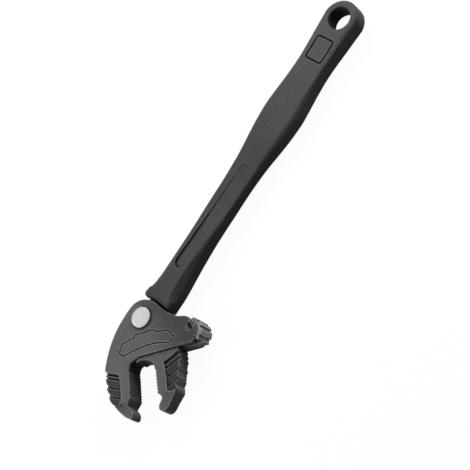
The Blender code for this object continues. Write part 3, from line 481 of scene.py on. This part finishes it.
def cut_across(piece, low, high, step):
    """Cuts a piece's faces across at even steps along X, so that they can follow a curve."""
    edit_all(piece)
    for count in range(int((high - low) / step) + 1):
        bpy.ops.mesh.select_all(action="SELECT")
        bpy.ops.mesh.bisect(plane_co=(low + count * step, 0, 0), plane_no=(1, 0, 0))
    bpy.ops.mesh.select_all(action="SELECT")
    bpy.ops.mesh.remove_doubles(threshold=0.003 * MM)
    bpy.ops.mesh.dissolve_degenerate(threshold=0.002 * MM)
    bpy.ops.mesh.normals_make_consistent(inside=False)
    bpy.ops.object.mode_set(mode="OBJECT")


def drop(inward, radius):
    """How far a rounded edge lies below the face, at a distance inward from the side."""
    return radius - math.sqrt(radius ** 2 - (radius - min(inward, radius)) ** 2)


def bar_sides(piece):
    """The bar's half width along X, on each side of its line."""
    sides = {1: [], -1: []}
    for point in piece.data.vertices:
        x, y, z = point.co
        along_bar = BAR_START - BAR_MARGIN < x < BAR_END + BAR_MARGIN
        if along_bar and abs(z - MIDDLE) < WALL_HALF and abs(y - BAR_LINE) > SIDE_NEAREST:
            sides[1 if y > BAR_LINE else -1].append((x, abs(y - BAR_LINE)))
    return {way: sorted(row) for way, row in sides.items()}


def forge_bar(piece):
    """Gives the bar the photographed section: thin at its waist, with crisp edges that widen at the belly."""
    sides = bar_sides(piece)
    cut_across(piece, BAR_START, BAR_END, CUT_STEP)
    for point in piece.data.vertices:
        x, y, z = point.co
        if not BAR_START < x < BAR_END:
            continue
        way, face = (1 if y > BAR_LINE else -1), (1 if z > MIDDLE else -1)
        half_width = between(x, sides[way])
        inward = half_width - abs(y - BAR_LINE)
        below = BAR_HALF - abs(z - MIDDLE)
        half, wider = bar_value(x, HALF_THICK), bar_value(x, WIDER)
        edge, flat = bar_value(x, BACK_EDGE), 0
        if face > 0:
            edge, flat = bar_value(x, FRONT_EDGE), bar_value(x, FLATNESS)
        zone = edge if x > FRAME_START else ROUND_ZONE
        if inward < zone and below < ROUND_ZONE:
            turn = math.atan2(max(BAR_ROUND - below, 0), max(BAR_ROUND - inward, 0))
            share = turn / (math.pi / 2)
            inward = edge * (share * flat + (1 - math.cos(turn)) * (1 - flat))
            below = edge * ((1 - share) * flat + (1 - math.sin(turn)) * (1 - flat))
            point.co.y = BAR_LINE + way * (half_width + wider - inward)
        elif below < PANEL_DEPTH:
            below = drop(inward, edge) + (below - drop(inward, BAR_ROUND)) * bar_value(x, PANEL_SHARE)
            if inward < BAR_ROUND:
                point.co.y = y + way * wider
        point.co.z = MIDDLE + face * (half - below)


def choose_faces(piece, chosen):
    """Leaves edit mode on with the faces selected for which chosen(face) is true."""
    bpy.ops.object.mode_set(mode="EDIT")
    bpy.ops.mesh.select_mode(type="FACE")
    bpy.ops.mesh.select_all(action="DESELECT")
    mesh = bmesh.from_edit_mesh(piece.data)
    for face in mesh.faces:
        face.select = chosen(face)
    mesh.select_flush_mode()
    bmesh.update_edit_mesh(piece.data)


def flat_end(z, way):
    """Chooses the many-sided face at height z that looks up (1) or down (-1)."""
    return lambda face: (len(face.verts) > 4 and face.normal.z * way > 0.9
                         and abs(face.calc_center_median().z - z) < 0.01 * MM)


def disc(name, radius, low, high):
    start_afresh()
    bpy.ops.mesh.primitive_cylinder_add(
        vertices=96, radius=radius, depth=high - low, location=(0, 0, (low + high) / 2))
    piece = bpy.context.object
    piece.name = piece.data.name = name
    settle(piece)
    return piece


def step_in(piece, z, way, narrower, rise):
    """Draws the flat end at z in by narrower, moves it by rise, and says where it is then."""
    choose_faces(piece, flat_end(z, way))
    bpy.ops.mesh.inset(thickness=narrower)
    bpy.ops.transform.translate(value=(0, 0, rise))
    bpy.ops.object.mode_set(mode="OBJECT")
    return z + rise


def reach_down(piece, z, narrower, to):
    """Grows a thinner stretch down from the flat underside at z."""
    step_in(piece, z, -1, narrower, 0)
    choose_faces(piece, flat_end(z, -1))
    bpy.ops.mesh.extrude_region_move(TRANSFORM_OT_translate={"value": (0, 0, to - z)})
    bpy.ops.object.mode_set(mode="OBJECT")


def soften_edges(piece, width):
    softened = piece.modifiers.new("soft_edges", "BEVEL")
    softened.width = width
    softened.segments = 3
    softened.limit_method = "ANGLE"
    softened.angle_limit = math.radians(50)
    softened.use_clamp_overlap = True
    apply_all(piece)


def pivot_pin():
    """The headed pin: a bright face in a raised rim, a shank through the head and a thinner riveted tail."""
    radius, under, top = 6.35 * MM, 13.25 * MM, 14.25 * MM
    shank, tail, tail_from, tail_to = 4 * MM, 3 * MM, 1.6 * MM, 0.05 * MM
    pin = disc("headed_pivot_pin", radius, under, top)
    z = top
    for narrower, rise in ((0.62, 0), (0.16, -0.14), (0.14, 0), (0.14, 0.09), (2.2, 0.02), (1.6, 0.01)):
        z = step_in(pin, z, 1, narrower * MM, rise * MM)
    reach_down(pin, under, radius - shank, tail_from)
    reach_down(pin, tail_from, shank - tail, tail_to)
    soften_edges(pin, 0.3 * MM)
    shade_round(pin)
    return pin


def wire_spring(name, wire, radius, length, coils, place):
    """A compression spring of round wire along Z, with closed and ground ends, set in place."""
    start_afresh()
    bpy.ops.mesh.primitive_circle_add(
        vertices=12, radius=wire, location=(radius, 0, 0), rotation=(math.pi / 2, 0, 0))
    spring = bpy.context.object
    spring.name = spring.data.name = name
    settle(spring)
    wound = spring.modifiers.new("wound", "SCREW")
    wound.axis = "Z"
    wound.angle = math.tau
    wound.screw_offset = 1
    wound.iterations = coils + 2
    wound.steps = wound.render_steps = 32
    apply_all(spring)
    lay_coils(spring, wire, length, coils)
    close_ends(spring)
    spring.matrix_world = place
    settle(spring)
    shade_round(spring, 60)
    return spring


def lay_coils(spring, wire, length, coils):
    """Closes the first and the last turn, spaces the rest evenly and grinds the ends flat."""
    dead = 1.0
    turn_rise = 2.05 * wire
    ground = 0.35 * wire
    open_rise = (length - 2 * wire - 2 * dead * turn_rise) / coils
    for point in spring.data.vertices:
        turn = math.atan2(point.co.y, point.co.x) / math.tau % 1.0
        wound = round(point.co.z - turn) + turn
        own = point.co.z - wound
        laid = min(wound, dead) * turn_rise
        laid += min(max(wound - dead, 0), coils) * open_rise
        laid += max(wound - dead - coils, 0) * turn_rise
        point.co.z = min(max(laid + own + wire, ground), length - ground)


def close_ends(spring):
    edit_all(spring)
    bpy.ops.mesh.fill_holes(sides=0)
    bpy.ops.mesh.normals_make_consistent(inside=False)
    bpy.ops.object.mode_set(mode="OBJECT")


# Finishes and pieces

def grey(level):
    return (level, level, level)


def slide_box(low_u, high_u, low_v, high_v, half_thickness):
    return {"Low U": low_u * MM, "High U": high_u * MM, "Low V": low_v * MM, "High V": high_v * MM,
            "Half Thickness": half_thickness * MM}


# painted shade in the hook's sunk grip, whose finish is also duller
HOOK_GRIP = slide_box(-40, -16.6, 29, 51, 6.5)
# painted shade on the hook's inner side
HOOK_INSIDE = slide_box(-14, 12, 18, 46, 6.1)
# painted shade at the root of the mouth
MOUTH_ROOT = slide_box(-14, 12, 14, 31, 6.2)
# painted shade in the jaw's sunk grip, whose finish is also duller
JAW_GRIP = slide_box(12.4, 22.5, 22, 50, 5.5)
# painted light on the jaw's back side
JAW_BACK = slide_box(12.4, 40, 22, 50, 4.2)
# painted shade at the jaw's root in the mouth
JAW_ROOT = slide_box(-26, 12.6, 10, 31, 5.45)
RAIL_SIDE = slide_box(24, 50, 5, 26, 6)
# painted shade on the wall of the handle's hole
HOLE_WALL = slide_box(139, 155.6, -160.8, -144.2, 5.3)
SPRING_LINE, PLUNGER_LINE = 20.6 * MM, 4.4 * MM
PIVOT_AT = (0, 0, 0)
SCREW_AT = on_slide(32.3 * MM, 13.5 * MM)
SPRING_PIN_AT = on_slide(30 * MM, SPRING_LINE)
SPRING_WIRE = 0.3 * MM
JAW_SPRING_FROM, JAW_SPRING_TO = 9.25 * MM, 28.45 * MM
HANDLE_SPRING_FROM, HANDLE_SPRING_TO = -15.2 * MM, -23.7 * MM
STEEL_COPIES = (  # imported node, piece, body, finish, colour, axis of the turning marks
    ("pivot_back_ring", "pin_retaining_ring", "head", "ring_bright_steel", (0.55, 0.55, 0.54), PIVOT_AT),
    ("pivot_bushing", "bronze_bushing", "handle", "bushing_bronze", (0.50, 0.32, 0.14), PIVOT_AT),
    ("cheek_spacer", "spacer_sleeve", "head", "spacer_steel", (0.5, 0.5, 0.49), SCREW_AT),
    ("jaw_spring_pin", "spring_stop_pin", "head", "spring_pin_steel", grey(0.14), SPRING_PIN_AT),
    ("handle_plunger", "round_nosed_plunger", "plunger", "plunger_steel", (0.5, 0.5, 0.49), PIVOT_AT))


def make_forgings():
    # painted shade in the hook and at the mouth's root, and painted light that darkens towards the handle
    black = forged_coating(
        "head_black_oxide", grey(0.116), grey(0.30),
        [(HOOK_GRIP, (0.050, 0.050, 0.051)), (HOOK_INSIDE, grey(0.070)), (MOUTH_ROOT, grey(0.030))],
        change=((-0.010, -0.006, 0), (0.014, -0.014, 0), 0.50))
    dressed_copy("head", "hook_head", "head", black)
    # painted shade in the handle's hole, and painted light that brightens towards the handle's far end
    bar = forged_coating(
        "handle_black_oxide", (0.061, 0.062, 0.063), grey(0.17), [(HOLE_WALL, grey(0.026))],
        change=((0.10, 0, 0), (0.18, 0, 0), 1.22), rubbed_and_highlight_amount=0.45)
    dressed_copy("handle", "forged_handle", "handle", bar, reshape=forge_bar)
    # painted shade at the jaw's root and in its grip, and painted light on its back
    dark_grey = forged_coating(
        "jaw_grey_oxide", grey(0.108), grey(0.30),
        [(JAW_ROOT, grey(0.030)), (RAIL_SIDE, (0.30, 0.305, 0.295)), (JAW_GRIP, (0.042, 0.047, 0.048)),
         (JAW_BACK, (0.150, 0.152, 0.152))],
        grime_and_shade_amount=0.7)
    dressed_copy("movable_jaw", "sliding_jaw", "jaw", dark_grey)
    # painted shade that darkens the pad towards the head's cheeks
    pale = forged_coating(
        "pad_grey_oxide", (0.215, 0.217, 0.222), grey(0.46),
        change=((0.0180, -0.0392, 0), (0.0143, -0.0354, 0), 0.40), metallic=0.2, matt=0.42, sheen=0.2)
    dressed_copy("thumb_pad", "ridged_thumb_pad", "jaw", pale)
    black_screw = forged_coating("screw_black_oxide", (0.055, 0.055, 0.056), grey(0.10), rubbed_and_highlight_amount=0.1)
    dressed_copy("cheek_screw", "slotted_cheek_screw", "head", black_screw)


def make_steel_pieces():
    pin_steel = turned_steel("pin_bright_steel", (0.35, 0.342, 0.335), PIVOT_AT, matt=0.3)
    finish_piece(pivot_pin(), "head", pin_steel, "pivot_pin")
    for node, name, body, finish, colour, axis in STEEL_COPIES:
        dressed_copy(node, name, body, turned_steel(finish, colour, axis))


def make_springs():
    wire_steel = turned_steel("spring_wire_steel", (0.45, 0.45, 0.44), PIVOT_AT, 0.6 * MM)
    turn = SLIDE_WAY.to_track_quat("Z", "Y").to_matrix().to_4x4()
    place = Matrix.Translation(on_slide(JAW_SPRING_FROM, SPRING_LINE)) @ turn
    long = JAW_SPRING_TO - JAW_SPRING_FROM
    spring = wire_spring("jaw_closing_spring", SPRING_WIRE, 1.3 * MM, long, 6, place)
    finish_piece(spring, "head", wire_steel, "jaw_spring")
    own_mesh(spring)
    turn = Vector((-1, 0, 0)).to_track_quat("Z", "Y").to_matrix().to_4x4()
    place = Matrix.Translation((HANDLE_SPRING_FROM, PLUNGER_LINE, MIDDLE)) @ turn
    long = HANDLE_SPRING_FROM - HANDLE_SPRING_TO
    spring = wire_spring("handle_return_spring", SPRING_WIRE, 1.35 * MM, long, 4, place)
    finish_piece(spring, "head", wire_steel, "handle_spring")
    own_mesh(spring)


# Stage, lamps and camera

FLOOR_SHADE, ROOM_SHADE = 0.18, 0.09  # what lights the tool, where the camera sees plain white
WHITE = (1.0, 1.0, 1.0, 1)
LAMPS = (  # name, place, aim, size, power
    ("left_softbox", (-0.38, 0.62, 0.52), (0.0, -0.02, 0), 0.55, 4.9),
    ("right_softbox", (0.52, 0.50, 0.42), (0.20, 0, 0), 0.5, 4.4),
    ("side_softbox", (1.0, -0.04, 0.36), (0.05, -0.02, 0), 0.45, 7.8),
    ("front_softbox", (-0.90, -0.05, 0.28), (-0.02, -0.02, 0), 0.4, 3.8))


def seen_rays(tree):
    """1 on rays from the camera, a reflection or a clear body, which see the backdrop as it looks."""
    path = tree.nodes.new("ShaderNodeLightPath")
    seen = maths(tree, "ADD", path.outputs["Is Camera Ray"], path.outputs["Is Glossy Ray"])
    return maths(tree, "ADD", seen, path.outputs["Is Transmission Ray"], True)


def mixed_surface(tree, share, base, over, output):
    """Mixes two shaders by share and plugs the result into an output node."""
    blend = tree.nodes.new("ShaderNodeMixShader")
    tree.links.new(share, blend.inputs["Fac"])
    tree.links.new(base, blend.inputs[1])
    tree.links.new(over, blend.inputs[2])
    tree.links.new(blend.outputs["Shader"], tree.nodes[output].inputs["Surface"])


def white_floor():
    start_afresh()
    bpy.ops.mesh.primitive_plane_add(size=6, location=(0.1, 0, -0.4 * MM))
    floor = bpy.context.object
    floor.name = "floor"
    material, tree, shader = empty_material("pale_floor")
    seen = seen_rays(tree)
    tone = blend_colour(tree, seen, (*grey(FLOOR_SHADE), 1), WHITE)
    tree.links.new(tone, shader.inputs["Base Color"])
    shader.inputs["Roughness"].default_value = 0.9
    shader.inputs["Specular IOR Level"].default_value = 0.0
    glow = tree.nodes.new("ShaderNodeEmission")
    share = maths(tree, "MULTIPLY", seen, 0.95)
    mixed_surface(tree, share, shader.outputs["BSDF"], glow.outputs["Emission"], "Material Output")
    floor.data.materials.append(material)


def pale_room():
    world = bpy.data.worlds.new("pale_room")
    bpy.context.scene.world = world
    world.use_nodes = True
    tree = world.node_tree
    room = tree.nodes["Background"]
    room.inputs["Color"].default_value = (*grey(ROOM_SHADE), 1)
    white = tree.nodes.new("ShaderNodeBackground")
    white.inputs["Color"].default_value = WHITE
    mixed_surface(
        tree, seen_rays(tree), room.outputs["Background"], white.outputs["Background"], "World Output")


def area_lamp(name, place, aim, size, power):
    lamp = bpy.data.lights.new(name, "AREA")
    lamp.shape = "DISK"
    lamp.size = size
    lamp.energy = power
    made = bpy.data.objects.new(name, lamp)
    bpy.context.scene.collection.objects.link(made)
    made.location = place
    made.rotation_euler = (Vector(aim) - Vector(place)).to_track_quat("-Z", "Y").to_euler()


def photo_camera():
    """The photograph's camera, which looks down on the tool with the handle to the upper right."""
    camera = bpy.data.cameras.new("camera")
    camera.lens = 120.102
    camera.sensor_width = 36
    camera.clip_start = 0.01
    made = bpy.data.objects.new("camera", camera)
    bpy.context.scene.collection.objects.link(made)
    right = (0.543359, -0.676339, -0.497319)
    up = (0.839431, 0.430094, 0.332228)
    back = (-0.010804, -0.597984, 0.801435)
    turn = Matrix((right, up, back)).transposed().to_4x4()
    made.matrix_world = Matrix.Translation((0.060915, -0.569488, 0.743147)) @ turn
    bpy.context.scene.camera = made


make_forgings()
make_steel_pieces()
make_springs()
white_floor()
pale_room()
for lamp in LAMPS:
    area_lamp(*lamp)
photo_camera()
bpy.context.scene.view_settings.view_transform = "Standard"
